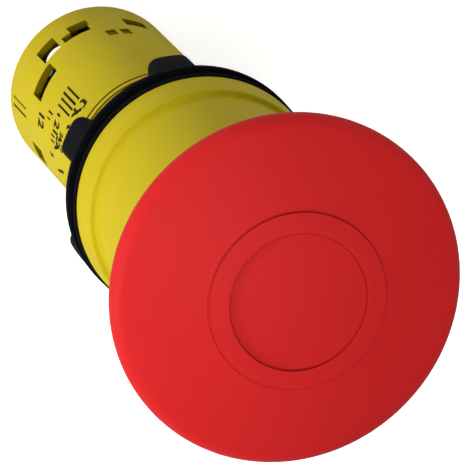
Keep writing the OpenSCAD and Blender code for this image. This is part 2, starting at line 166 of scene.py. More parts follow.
class Graph:
    """The node tree of one material."""

    def __init__(self, name: str) -> None:
        """Start an empty material.

        Args:
            name: the material's name.
        """
        self.material = bpy.data.materials.new(name)
        self.material.use_nodes = True
        self.tree = self.material.node_tree
        self.tree.nodes.clear()

    def node(
        self,
        kind: str,
        inputs: Inputs | None = None,
        settings: dict[str, object] | None = None,
        out: int | str = 0,
    ) -> Sock:
        """Add a node.

        Args:
            kind: the node's type.
            inputs: values or sockets, by input.
            settings: the node's own settings, which are made first.
            out: the output to hand back.

        Returns:
            The output.
        """
        made = self.tree.nodes.new(kind)
        for key, value in (settings or {}).items():
            setattr(made, key, value)
        for key, value in (inputs or {}).items():
            if isinstance(value, Sock):
                self.tree.links.new(value.socket, made.inputs[key])
            else:
                made.inputs[key].default_value = value
        return Sock(self, made.outputs[out])

    def place(self) -> Sock:
        """The point's place on the object."""
        return self.node("ShaderNodeTexCoord", out="Object")

    def noise(self, place: Sock, size_mm: float, detail: float = 2.0) -> Sock:
        """Noise from 0 to 1, with patches of a size and so many octaves."""
        inputs: Inputs = {"Vector": place, "Scale": 1 / (size_mm * MM), "Detail": detail}
        return self.node("ShaderNodeTexNoise", inputs, out="Fac")

    def split(self, place: Sock) -> tuple[Sock, Sock, Sock]:
        """Take coordinates apart into X, Y and Z."""
        apart = self.node("ShaderNodeSeparateXYZ", {"Vector": place})
        return apart, Sock(self, apart.socket.node.outputs[1]), Sock(self, apart.socket.node.outputs[2])

    def blend(self, factor: Sock | float, first: Sock | Colour, second: Sock | Colour) -> Sock:
        """Mix two colours.

        Args:
            factor: how much of the second.
            first: the first colour.
            second: the second colour.

        Returns:
            The colour.
        """
        inputs: Inputs = {0: factor}
        for index, colour in ((6, first), (7, second)):
            inputs[index] = colour if isinstance(colour, Sock) else (*colour, 1)
        return self.node("ShaderNodeMix", inputs, {"data_type": "RGBA"}, 2)

    def surface(self, inputs: Inputs) -> bpy.types.Material:
        """Add the shader of the surface and the output.

        Args:
            inputs: the shader's values or sockets, by input.

        Returns:
            The finished material.
        """
        shader = self.node("ShaderNodeBsdfPrincipled", inputs)
        end =self.tree.nodes.new("ShaderNodeOutputMaterial")
        self.tree.links.new(shader.socket, end.inputs["Surface"])
        return self.material


@dataclass(frozen=True)
class Finish:
    """A surface with patches of tone, uneven gloss and a fine grain."""

    name: str
    colour: Colour
    roughness: float
    metallic: float = 0.0
    mottle: float = 0.04
    mottle_mm: float = 9.0
    gloss_spread: float = 0.1
    grain_mm: float = 0.25
    grain_depth_mm: float = 0.012
    specular: float = 0.5
    stretch: tuple[float, float, float] = (1.0, 1.0, 1.0)

    def scaled(self, share: float) -> Colour:
        """The colour, darker or lighter by a share."""
        red, green, blue = (min(1.0, c * share) for c in self.colour)
        return red, green, blue

    def tone(self, graph: Graph, place: Sock, patches: Sock) -> Sock:
        """The colour at each point, which follows the patches of a noise."""
        return graph.blend(patches, self.scaled(1 - 2 * self.mottle), self.scaled(1 + 2 * self.mottle))

    def build(self) -> bpy.types.Material:
        """Make the material.

        Returns:
            The material.
        """
        graph = Graph(self.name)
        place = graph.place()
        drawn = graph.node("ShaderNodeMapping", {"Vector": place, "Scale": self.stretch})
        patches = graph.noise(place, self.mottle_mm, 3.0)
        grain = graph.noise(drawn, self.grain_mm)
        tone = self.tone(graph, place, patches)
        gloss = (patches - 0.5) * self.gloss_spread + (grain - 0.5) * (self.gloss_spread / 2) + self.roughness
        relief = {"Strength": 0.5, "Distance": self.grain_depth_mm * MM, "Height": grain}
        return graph.surface(
            {
                "Base Color": tone,
                "Roughness": gloss,
                "Metallic": self.metallic,
                "Specular IOR Level": self.specular,
                "Normal": graph.node("ShaderNodeBump", relief),
            }
        )


@dataclass(frozen=True)
class Grooved(Finish):
    """A finish with painted shade in round grooves on top: a darker colour in a thin band at each groove's
    radius.
    """

    grooves_mm: tuple[float, ...] = ()
    half_mm: float = 0.09
    above_mm: float = 0.0
    # Share of the colour left in the painted groove shade.
    groove_shade: float = 0.35

    def tone(self, graph: Graph, place: Sock, patches: Sock) -> Sock:
        """Paint shade into the grooves.

        Args:
            graph: the graph of the material.
            place: the coordinates.
            patches: the noise that the tone follows.

        Returns:
            The colour.
        """
        x, y, z = graph.split(place)
        radius = (x * x + y * y) ** 0.5
        shaded_tone = super().tone(graph, place, patches)
        for groove in self.grooves_mm:
            # Painted shade: a thin band at each groove's radius, above a height, gets a darker colour.
            inside = (abs(radius - groove * MM) < self.half_mm * MM) * (z > self.above_mm * MM)
            shaded_tone = graph.blend(inside, shaded_tone, self.scaled(self.groove_shade))
        return shaded_tone


@dataclass(frozen=True)
class Shaded(Finish):
    """A finish with painted shade: a darker colour inside a radius, as in the walls of windows."""

    radius_mm: float = 10.0
    above_mm: float = 0.0
    # The colour of the painted shade.
    shade_colour: Colour = (0.0, 0.0, 0.0)

    def tone(self, graph: Graph, place: Sock, patches: Sock) -> Sock:
        """Paint shade on what lies deeper.

        Args:
            graph: the graph of the material.
            place: the coordinates.
            patches: the noise that the tone follows.

        Returns:
            The colour.
        """
        x, y, z = graph.split(place)
        # Painted shade: inside the radius and above a height the colour turns darker.
        inside = ((x * x + y * y) < (self.radius_mm * MM) ** 2) * (z > self.above_mm * MM)
        return graph.blend(inside, super().tone(graph, place, patches), self.shade_colour)


class Finishes:
    """Every finish of the button, made once."""

    RED = Grooved(
        "satin_red_plastic",
        (0.65, 0.0195, 0.0203),
        roughness=0.5,
        mottle=0.02,
        specular=0.05,
        # The ring grooves on the head get painted shade, a darker colour in a thin band at each radius.
        grooves_mm=(7.8, 10.15),
        half_mm=0.1,
        above_mm=38.0,
        groove_shade=0.68,
    )
    YELLOW = Shaded(
        "satin_yellow_plastic",
        (0.6, 0.475, 0.01),
        roughness=0.5,
        mottle=0.025,
        specular=0.04,
        # Painted shade inside this radius: the walls of the windows, the floors of the recesses, the neck's
        # grooves and thread roots, and the inner surfaces.
        radius_mm=10.54,
        above_mm=-46.2,
        shade_colour=(0.24, 0.165, 0.002),
    )
    BLACK = Finish(
        "black_glass_filled_plastic", (0.006, 0.0065, 0.009), 0.6, grain_mm=0.18, mottle=0.1, specular=0.01
    )
    RUBBER = Finish(
        "black_seal_rubber", (0.006, 0.006, 0.008), 0.75, grain_mm=0.12, mottle=0.1, specular=0.01
    )
    GREY = Finish("grey_bearing_plastic", (0.09, 0.09, 0.095), 0.5)
    WHITE = Finish("white_carriage_plastic", (0.7, 0.7, 0.68), 0.45)
    ZINC = Finish("zinc_plated_steel", (0.58, 0.59, 0.6), 0.3, 1.0, grain_mm=0.1, stretch=(1, 1, 0.2))
    SPRING = Finish("spring_steel", (0.5, 0.5, 0.51), 0.25, 1.0, grain_mm=0.1)
    BRASS = Finish("rolled_contact_brass", (0.68, 0.46, 0.18), 0.28, 1.0, grain_mm=0.15, stretch=(0.2, 1, 1))
    INK = Finish("dark_marking_ink", (0.014, 0.012, 0.004), 0.6, grain_mm=0.08, mottle=0.1, specular=0.03)

    def __init__(self) -> None:
        """Start with no material made."""
        self._made: dict[str, bpy.types.Material] = {}

    def of(self, finish: Finish) -> bpy.types.Material:
        """The material of a finish.

        Args:
            finish: the finish.

        Returns:
            Its material.
        """
        if finish.name not in self._made:
            self._made[finish.name] = finish.build()
        return self._made[finish.name]


# Drawn pieces


def full_turn(bm: BMesh, steps: int) -> BMesh:
    """Turn an outline about the axis into a solid.

    Args:
        bm: the outline.
        steps: the steps of the turn.

    Returns:
        The solid.
    """
    bmesh.ops.spin(
        bm,
        geom=bm.verts[:] + bm.edges[:],
        cent=(0, 0, 0),
        axis=AXIS,
        angle=TURN,
        steps=steps,
        use_merge=True,
    )
    bmesh.ops.remove_doubles(bm, verts=bm.verts, dist=WELD)
    bmesh.ops.recalc_face_normals(bm, faces=bm.faces)
    return bm


class Pen:
    """Draws an outline on a sheet, with its second direction along Z or along Y."""

    def __init__(self, across: float, along: float, second: Vector = AXIS) -> None:
        """Put the pen down.

        Args:
            across: the place along X, in mm.
            along: the place along the second direction, in mm.
            second: the second direction.
        """
        self.bm = bmesh.new()
        self.second = second
        self.first = self.bm.verts.new(self._at(across, along))
        self.last = self.first
        self.rounds: dict[float, list[bmesh.types.BMVert]] = {}

    def _at(self, across: float, along: float) -> Vector:
        """A place on the sheet, in metres."""
        return (Vector((across, 0, 0)) + along * self.second) * MM

    def to(self, across: float, along: float, rounding: float = 0.0) -> Pen:
        """Draw a straight line.

        Args:
            across: the place of its end along X, in mm.
            along: the place of its end along the second direction, in mm.
            rounding: how far the corner is rounded, in mm.

        Returns:
            The pen.
        """
        end = self.bm.verts.new(self._at(across, along))
        self.bm.edges.new((self.last, end))
        if rounding:
            self.rounds.setdefault(rounding, []).append(end)
        self.last = end
        return self

    def arc(self, across: float, along: float, degrees: float, steps: int) -> Pen:
        """Draw an arc from the pen.

        Args:
            across: the place of its centre along X, in mm.
            along: the place of its centre along the second direction, in mm.
            degrees: how far it turns.
            steps: the pieces of it.

        Returns:
            The pen.
        """
        spun = bmesh.ops.spin(
            self.bm,
            geom=[self.last],
            cent=self._at(across, along),
            axis=self.second.cross(Vector((1, 0, 0))),
            angle=math.radians(degrees),
            steps=steps,
            use_merge=False,
        )
        self.last = next(e for e in spun["geom_last"] if isinstance(e, bmesh.types.BMVert))
        return self


class Section(Pen):
    """Half of a section, turned about the axis."""

    def turn(self, steps: int = 160, closed: bool = False) -> BMesh:
        """Round the corners and turn the section into a solid.

        Args:
            steps: the steps of the turn.
            closed: whether the section closes on itself.

        Returns:
            The solid.
        """
        if closed:
            self.bm.edges.new((self.last, self.first))
        for size, corners in self.rounds.items():
            bmesh.ops.bevel(
                self.bm,
                geom=corners,
                offset=size * MM,
                offset_type="OFFSET",
                segments=5,
                profile=0.5,
                affect="VERTICES",
                material=-1,
            )
        return full_turn(self.bm, steps)


def block(low: Sequence[float], high: Sequence[float], turned: float = 0.0) -> BMesh:
    """A box from corner to corner, then turned about the axis.

    Args:
        low: the lowest corner, in mm.
        high: the highest corner, in mm.
        turned: the turn, in degrees.

    Returns:
        The box.
    """
    bm = bmesh.new()
    size = [(b - a) * MM for a, b in zip(low, high)]
    middle = [(a + b) / 2 * MM for a, b in zip(low, high)]
    place = Matrix.Rotation(math.radians(turned), 4, "Z") @ Matrix.Translation(middle)
    bmesh.ops.create_cube(bm, size=1.0, matrix=place @ Matrix.Diagonal((*size, 1)))
    return bm


def rod(x: float, y: float, low: float, high: float, r: float, steps: int = 48) -> BMesh:
    """A round rod along the axis.

    Args:
        x: its place along X, in mm.
        y: its place along Y, in mm.
        low: its lower end, in mm.
        high: its upper end, in mm.
        r: its radius, in mm.
        steps: its sides.

    Returns:
        The rod.
    """
    bm = bmesh.new()
    bmesh.ops.create_cone(
        bm,
        cap_ends=True,
        segments=steps,
        radius1=r * MM,
        radius2=r * MM,
        depth=(high - low) * MM,
        matrix=Matrix.Translation((x * MM, y * MM, (low + high) / 2 * MM)),
    )
    return bm


def joined(parts: Iterable[BMesh]) -> BMesh:
    """Put several shapes into one.

    Args:
        parts: the shapes, which are used up.

    Returns:
        The shape.
    """
    whole = bmesh.new()
    for part in parts:
        mesh = bpy.data.meshes.new("part")
        part.to_mesh(mesh)
        part.free()
        whole.from_mesh(mesh)
        bpy.data.meshes.remove(mesh)
    return whole


def loose(bm: BMesh, name: str) -> bpy.types.Object:
    """Turn a shape into an object.

    Args:
        bm: the shape, which is used up.
        name: the object's name.

    Returns:
        The object.
    """
    mesh = bpy.data.meshes.new(name)
    bm.to_mesh(mesh)
    bm.free()
    made = bpy.data.objects.new(name, mesh)
    bpy.context.scene.collection.objects.link(made)
    return made


def cut(piece: bpy.types.Object, cutter: BMesh) -> None:
    """Take a shape away from a piece, for good.

    Args:
        piece: the piece.
        cutter: what is taken away.
    """
    tool = loose(cutter, "cutter")
    modifier = piece.modifiers.new("cut", "BOOLEAN")
    modifier.operation = "DIFFERENCE"
    modifier.solver = "EXACT"
    modifier.use_self = True
    modifier.object = tool
    graph = bpy.context.evaluated_depsgraph_get()
    made = bpy.data.meshes.new_from_object(piece.evaluated_get(graph))
    piece.modifiers.clear()
    old = piece.data
    piece.data = made
    made.name = old.name
    bpy.data.meshes.remove(old)
    bpy.data.objects.remove(tool)


def soften(piece: bpy.types.Object, width_mm: float, degrees: float = 35.0) -> None:
    """Round a piece's sharp edges a little.

    Args:
        piece: the piece.
        width_mm: the width of the rounding.
        degrees: the sharpest angle that stays.
    """
    modifier = piece.modifiers.new("edges", "BEVEL")
    modifier.width = width_mm * MM
    modifier.segments = 2
    modifier.limit_method = "ANGLE"
    modifier.angle_limit = math.radians(degrees)
    modifier.miter_outer = "MITER_ARC"


class Workshop:
    """Dresses pieces and hands them to the frame."""

    def __init__(self, frame: dict[str, object]) -> None:
        """Keep the frame and start the finishes."""
        self.frame = frame
        self.finishes = Finishes()

    def hand_over(
        self,
        piece: bpy.types.Object,
        finish: Finish,
        body: Body,
        replaced: Sequence[str] = (),
        degrees: float = 32.0,
    ) -> None:
        """Finish a piece and let it ride on its body.

        Args:
            piece: the piece.
            finish: its finish.
            body: what it moves with.
            replaced: the nodes that it stands for.
            degrees: the angle past which an edge stays sharp.
        """
        piece.data.materials.clear()
        piece.data.materials.append(self.finishes.of(finish))
        piece.data.shade_smooth()
        piece.data.set_sharp_from_angle(angle=math.radians(degrees))
        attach(piece, body.value)
        if replaced:
            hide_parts(*replaced)
        LOG.info("%s: %d faces on %s", piece.name, len(piece.data.polygons), body.value)

    def dress(self, nodes: Iterable[str], finish: Finish) -> None:
        """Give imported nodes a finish.

        Args:
            nodes: the nodes.
            finish: the finish.
        """
        for name in nodes:
            node = self.frame["nodes"][name]
            for place in node.material_slots:
                place.material = self.finishes.of(finish)
            LOG.info("%s: %s", name, finish.name)


# Sub-assemblies


@dataclass(frozen=True)
class MushroomHead:
    """The red head with its raised ring, hollow underside and boss."""

    radius: float = 20.0
    edge: float = 2.1
    rim_z: float = 36.5
    crown: float = 5.7
    ring_in: float = 7.85
    ring_out: float = 10.1
    ring_rise: float = 0.35
    wall: float = 2.3
    boss: float = 9.0
    boss_z: float = 21.0
    socket: float = 5.4
    socket_z: float = 33.0
    pocket_in: float = 11.2
    pocket_out: float = 17.0
    ribs: int = 6
    rib_width: float = 1.4
    rib_sink: float = 0.3
    rib_lift: float = 0.1
    lean: float = 0.01
    ring_round: float = 0.07
    ring_foot: float = 0.04
    rim_round: float = 0.3
    boss_round: float = 0.4
    sides: int = 240

    @property
    def dome(self) -> float:
        """The radius of the dome."""
        c = self.radius - self.edge
        return (c * c + self.crown**2 - self.edge**2) / (2 * (self.crown - self.edge))

    @property
    def dome_z(self) -> float:
        """The height of the dome's centre."""
        return self.rim_z + self.crown - self.dome

    def _angle(self, r: float, sphere: float) -> float:
        """The angle from the top, in degrees, at which a sphere reaches a radius."""
        return math.degrees(math.asin(r / sphere))

    def _on(self, r: float, sphere: float) -> float:
        """The height of a sphere at a radius."""
        return self.dome_z + math.sqrt(sphere**2 - r**2)

    def shell(self) -> BMesh:
        """Turn the head's section.

        Returns:
            The head without its ribs.
        """
        raised = self.dome + self.ring_rise
        inner = self.dome - self.wall
        edge_c = self.radius - self.edge
        tangent = self._angle(edge_c * self.dome / (self.dome - self.edge), self.dome)
        pen = Section(0, self.dome_z + self.dome)
        a_in, a_out = self._angle(self.ring_in, self.dome), self._angle(self.ring_out, self.dome)
        pen.arc(0, self.dome_z, a_in, steps=8)
        pen.to(self.ring_in + self.lean, self._on(self.ring_in, raised), self.ring_round)
        across = self._angle(self.ring_out, raised) - self._angle(self.ring_in, raised)
        pen.arc(0, self.dome_z, across, steps=4)
        pen.to(self.ring_out + self.lean, self._on(self.ring_out, self.dome), self.ring_foot)
        pen.arc(0, self.dome_z, tangent - a_out, steps=12)
        pen.arc(edge_c, self.rim_z, 180 - tangent, steps=20)
        pen.to(self.pocket_out, self.rim_z - self.edge, self.rim_round)
        pen.to(self.pocket_out, self._on(self.pocket_out, inner), self.boss_round)
        across = self._angle(self.pocket_in, inner) - self._angle(self.pocket_out, inner)
        pen.arc(0, self.dome_z, across, steps=6)
        pen.to(self.pocket_in, self.rim_z - self.edge, self.rim_round)
        pen.to(self.boss, self.rim_z - self.edge, self.boss_round)
        pen.to(self.boss, self.boss_z, self.boss_round)
        pen.to(self.socket, self.boss_z)
        pen.to(self.socket, self.socket_z)
        pen.to(0, self.socket_z)
        return pen.turn(self.sides)

    def build(self, shop: Workshop) -> None:
        """Make the head.

        Args:
            shop: the workshop.
        """
        low_z = self.rim_z - self.edge + self.rib_lift
        high_z = self._on(self.pocket_out, self.dome - self.wall) + self.rib_sink
        half = self.rib_width / 2
        ribs = [
            block(
                (self.pocket_in - self.rib_sink, -half, low_z),
                (self.pocket_out + self.rib_sink, half, high_z),
                i * 360 / self.ribs,
            )
            for i in range(self.ribs)
        ]
        piece = loose(joined([self.shell(), *ribs]), "mushroom_head")
        shop.hand_over(piece, Finishes.RED, Body.BUTTON, ["head_cap"])


@dataclass(frozen=True)
class Front:
    """The yellow collar with its threaded neck, and the gasket behind it."""

    collar: float = 14.5
    upper: float = 13.5
    rim_low: float = 0.8
    rim_upper: float = 14.15
    rim_top: float = 5.6
    top: float = 28.5
    bore: float = 12.0
    ledge: float = 8.0
    guide: float = 5.45
    floor: float = 3.0
    neck_bore: float = 8.4
    crest: float = 11.0
    root: float = 10.08
    pitch: float = 1.5
    ridges: int = 8
    shoulder: float = 10.6
    shoulder_end: float = -15.3
    groove: float = 10.2
    groove_low: float = -14.45
    groove_top: float = -13.85
    gasket_r: float = 14.7
    gasket_bore: float = 11.15
    first_ridge: float = 0.3
    rim_step: float = 0.3
    rim_round: float = 0.3
    step_round: float = 0.2
    lip_round: float = 0.15
    top_round: float = 0.95
    seam_round: float = 0.12
    groove_round: float = 0.05
    slot_floor: float = 9.9
    slot_half: float = 1.6
    slot_low: float = -15.4
    slot_top: float = -0.2
    slot_dir: float = 90.0
    sides: int = 200

    def body(self) -> BMesh:
        """Turn the collar and the neck.

        Returns:
            The shape.
        """
        pen = Section(self.guide, self.floor)
        pen.to(self.neck_bore, self.floor)
        pen.to(self.neck_bore, self.shoulder_end)
        pen.to(self.shoulder, self.shoulder_end, self.seam_round)
        pen.to(self.shoulder, self.groove_low, self.groove_round)
        pen.to(self.groove, self.groove_low)
        pen.to(self.groove, self.groove_top)
        pen.to(self.shoulder, self.groove_top, self.groove_round)
        pen.to(self.shoulder, -self.first_ridge - self.ridges * self.pitch)
        flat = self.pitch / 10
        for i in reversed(range(self.ridges)):
            low = -self.first_ridge - (i + 1) * self.pitch
            pen.to(self.root, low)
            pen.to(self.crest, low + self.pitch / 2 - flat)
            pen.to(self.crest, low + self.pitch / 2 + flat)
        pen.to(self.root, -self.first_ridge)
        pen.to(self.root, self.rim_low)
        pen.to(self.collar, self.rim_low, self.rim_round)
        pen.to(self.rim_upper, self.rim_top, self.lip_round)
        pen.to(self.upper, self.rim_top + self.rim_step, self.step_round)
        pen.to(self.upper, self.top, self.top_round)
        pen.to(self.bore, self.top, self.lip_round)
        pen.to(self.bore, self.ledge)
        pen.to(self.guide, self.ledge)
        return pen.turn(self.sides, closed=True)

    def gasket(self) -> BMesh:
        """Turn the gasket.

        Returns:
            The shape.
        """
        pen = Section(self.gasket_bore, 0)
        pen.to(self.gasket_r, 0, self.step_round)
        pen.to(self.gasket_r, self.rim_low, self.step_round)
        pen.to(self.gasket_bore, self.rim_low)
        return pen.turn(closed=True)

    def build(self, shop: Workshop) -> None:
        """Make the collar, the neck and the gasket.

        Args:
            shop: the workshop.
        """
        collar = loose(self.body(), "collar_and_neck")
        low = (self.slot_floor, -self.slot_half, self.slot_low)
        cut(collar, block(low, (self.crest + 1, self.slot_half, self.slot_top), self.slot_dir))
        shop.hand_over(collar, Finishes.YELLOW, Body.HOUSING, ["front_housing"])
        gasket = loose(self.gasket(), "collar_gasket")
        shop.hand_over(gasket, Finishes.RUBBER, Body.HOUSING, ["gasket"])


@dataclass(frozen=True)
class Fixing:
    """The thrust washer and the six-lobed nut."""

    washer_r: float = 14.8
    washer_bore: float = 11.15
    washer_top: float = -2.1
    washer_low: float = -3.0
    washer_round: float = 0.15
    lug_in: float = 10.2
    lug_out: float = 11.4
    lug_half: float = 1.45
    lug_dir: float = 90.0
    nut_top: float = -3.02
    nut_low: float = -8.52
    nut_bore: float = 11.05
    valley: float = 12.3
    lobe: float = 14.7
    lobe_width: float = 5.1
    lobe_corner: float = 1.3
    lobe_foot: float = 0.8
    rear_edge: float = 0.6
    lobe_dir: float = -67.0
    lobes: int = 6
    bore_sides: int = 120
    weld: float = 0.001
    flat: float = 0.01
    sharp: float = 60.0

    def washer(self) -> BMesh:
        """Turn the washer.

        Returns:
            The shape.
        """
        pen = Section(self.washer_bore, self.washer_low)
        pen.to(self.washer_r, self.washer_low, self.washer_round)
        pen.to(self.washer_r, self.washer_top, self.washer_round)
        pen.to(self.washer_bore, self.washer_top)
        low = (self.lug_in, -self.lug_half, self.washer_low)
        lug = block(low, (self.lug_out, self.lug_half, self.washer_top), self.lug_dir)
        return joined([pen.turn(closed=True), lug])

    def outline(self) -> Pen:
        """Draw one lobe in plan, from valley to valley.

        Returns:
            The pen with the outline.
        """
        half = self.lobe_width / 2
        step = 180 / self.lobes
        tip_y = half - self.lobe_corner
        tip_x = math.sqrt((self.lobe - self.lobe_corner) ** 2 - tip_y**2)
        foot_y = half + self.lobe_foot
        foot_x = math.sqrt((self.valley + self.lobe_foot) ** 2 - foot_y**2)
        tip = math.degrees(math.atan2(tip_y, tip_x))
        foot = math.degrees(math.atan2(foot_y, foot_x))
        turn = math.radians(step)
        pen = Pen(self.valley * math.cos(turn), self.valley * math.sin(turn), Vector((0, 1, 0)))
        pen.arc(0, 0, step - foot, steps=5).arc(foot_x, foot_y, foot - 90, steps=4)
        pen.to(tip_x, half).arc(tip_x, tip_y, 90 - tip, steps=6).arc(0, 0, 2 * tip, steps=6)
        pen.arc(tip_x, -tip_y, 90 - tip, steps=6).to(foot_x, -half)
        return pen.arc(foot_x, -foot_y, foot - 90, steps=4).arc(0, 0, step - foot, steps=5)

    def nut(self) -> BMesh:
        """Shape the nut: six lobes round a ring, rounded at the rear.

        Returns:
            The shape.
        """
        bm = self.outline().bm
        bmesh.ops.spin(
            bm,
            geom=bm.verts[:] + bm.edges[:],
            cent=(0, 0, 0),
            axis=AXIS,
            angle=TURN * (self.lobes - 1) / self.lobes,
            steps=self.lobes - 1,
            use_duplicate=True,
        )
        bmesh.ops.remove_doubles(bm, verts=bm.verts, dist=self.weld * MM)
        bmesh.ops.create_circle(bm, segments=self.bore_sides, radius=self.nut_bore * MM)
        bmesh.ops.bridge_loops(bm, edges=bm.edges)
        top = bmesh.ops.extrude_face_region(bm, geom=bm.faces[:])
        raised = [e for e in top["geom"] if isinstance(e, bmesh.types.BMVert)]
        bmesh.ops.translate(bm, verts=raised, vec=(0, 0, (self.nut_top - self.nut_low) * MM))
        bmesh.ops.recalc_face_normals(bm, faces=bm.faces)
        outside = (self.nut_bore + self.valley) / 2 * MM
        rear = [
            e
            for e in bm.edges
            if all(v.co.z < self.flat * MM and v.co.xy.length > outside for v in e.verts)
            and e.calc_face_angle(0.0) > math.radians(self.sharp)
        ]
        bmesh.ops.bevel(
            bm,
            geom=rear,
            offset=self.rear_edge * MM,
            offset_type="OFFSET",
            segments=4,
            profile=0.5,
            affect="EDGES",
            material=-1,
        )
        turn = Matrix.Rotation(math.radians(self.lobe_dir), 4, "Z")
        place = Matrix.Translation((0, 0, self.nut_low * MM)) @ turn
        bmesh.ops.transform(bm, matrix=place, verts=bm.verts)
        return bm

    def build(self, shop: Workshop) -> None:
        """Make the washer and the nut.

        Args:
            shop: the workshop.
        """
        washer = loose(self.washer(), "thrust_ring")
        shop.hand_over(washer, Finishes.BLACK, Body.WASHER, ["thrust_washer"])
        nut = loose(self.nut(), "lobed_nut")
        shop.hand_over(nut, Finishes.BLACK, Body.NUT, ["fixing_nut"])


@dataclass(frozen=True)
class Opening:
    """A window or a shallow recess, with its ends measured from the rear face."""

    direction: float
    degrees: float
    start: float
    end: float
    depth: float = 1.5


@dataclass(frozen=True)
class RearHousing:
    """The yellow rear housing with its windows, recesses and driver holes."""

    radius: float = 10.6
    wall: float = 0.9
    top: float = -15.8
    low: float = -46.3
    face: float = 1.2
    edge: float = 0.4
    spigot: float = 8.4
    spigot_bore: float = 7.0
    spigot_top: float = -10.9
    ledge: float = 1.0
    top_round: float = 0.15
    spigot_round: float = 0.2
    soft_edge: float = 0.1
    over: float = 1.0
    driver: float = 2.4
    contact_dir: float = -117.5
    terminal_x: float = 4.7875
    terminal_y: float = 2.9051
    sides: int = 188

    OPENINGS = (
        Opening(-107.25, 19.5, 6.95, 8.95),
        Opening(-111.5, 14.0, 4.95, 7.05),
        Opening(-86.25, 15.0, 4.75, 9.05),
        Opening(-69.7, 23.0, 10.0, 13.6),
        Opening(-148.8, 15.6, 5.9, 8.8),
        Opening(-19.0, 12.2, 9.1, 13.6),
        Opening(-135.8, 6.6, 10.9, 13.2, 0.3),
        Opening(-126.4, 6.6, 10.9, 13.2, 0.3),
        Opening(-45.0, 1.6, 1.7, 8.0, 0.08),
        Opening(-39.6, 1.8, 1.7, 8.0, 0.2),
    )

    def shell(self) -> BMesh:
        """Turn the cup and its spigot.

        Returns:
            The shape.
        """
        inner = self.radius - self.wall
        pen = Section(0, self.low)
        pen.to(self.radius, self.low, self.edge)
        pen.to(self.radius, self.top, self.top_round)
        pen.to(self.spigot, self.top)
        pen.to(self.spigot, self.spigot_top, self.spigot_round)
        pen.to(self.spigot_bore, self.spigot_top, self.spigot_round)
        pen.to(self.spigot_bore, self.top - self.ledge)
        pen.to(inner, self.top - self.ledge)
        pen.to(inner, self.low + self.face, self.edge)
        pen.to(0, self.low + self.face)
        return pen.turn(self.sides)

    def cutters(self) -> list[BMesh]:
        """Every shape that the shell loses.

        Returns:
            The shapes.
        """
        made = []
        for hole in self.OPENINGS:
            half = self.radius * math.sin(math.radians(hole.degrees / 2))
            low = (self.radius - hole.depth, -half, self.low + hole.start)
            high = (self.radius + self.over, half, self.low + hole.end)
            made += [block(low, high, hole.direction + turned) for turned in (0, 180)]
        turn = Matrix.Rotation(math.radians(self.contact_dir), 3, "Z")
        end = self.low + self.face + self.over / 2
        for sx in (-1, 1):
            for sy in (-1, 1):
                at = turn @ Vector((sx * self.terminal_x, sy * self.terminal_y, 0))
                made.append(rod(at.x, at.y, self.low - self.over, end, self.driver))
        return made

    def build(self, shop: Workshop) -> None:
        """Make the rear housing.

        Args:
            shop: the workshop.
        """
        piece = loose(self.shell(), "rear_cup")
        cut(piece, joined(self.cutters()))
        soften(piece, self.soft_edge)
        shop.hand_over(piece, Finishes.YELLOW, Body.HOUSING, ["rear_housing"])


@dataclass(frozen=True)
class Stroke:
    """A straight printed stroke, from one end to the other."""

    x: float
    y: float
    to_x: float
    to_y: float
    width: float = 0.3


@dataclass(frozen=True)
class Numeral:
    """A printed number, with the place of its middle."""

    text: str
    direction: float
    z: float
    size: float
    narrow: float = 0.6


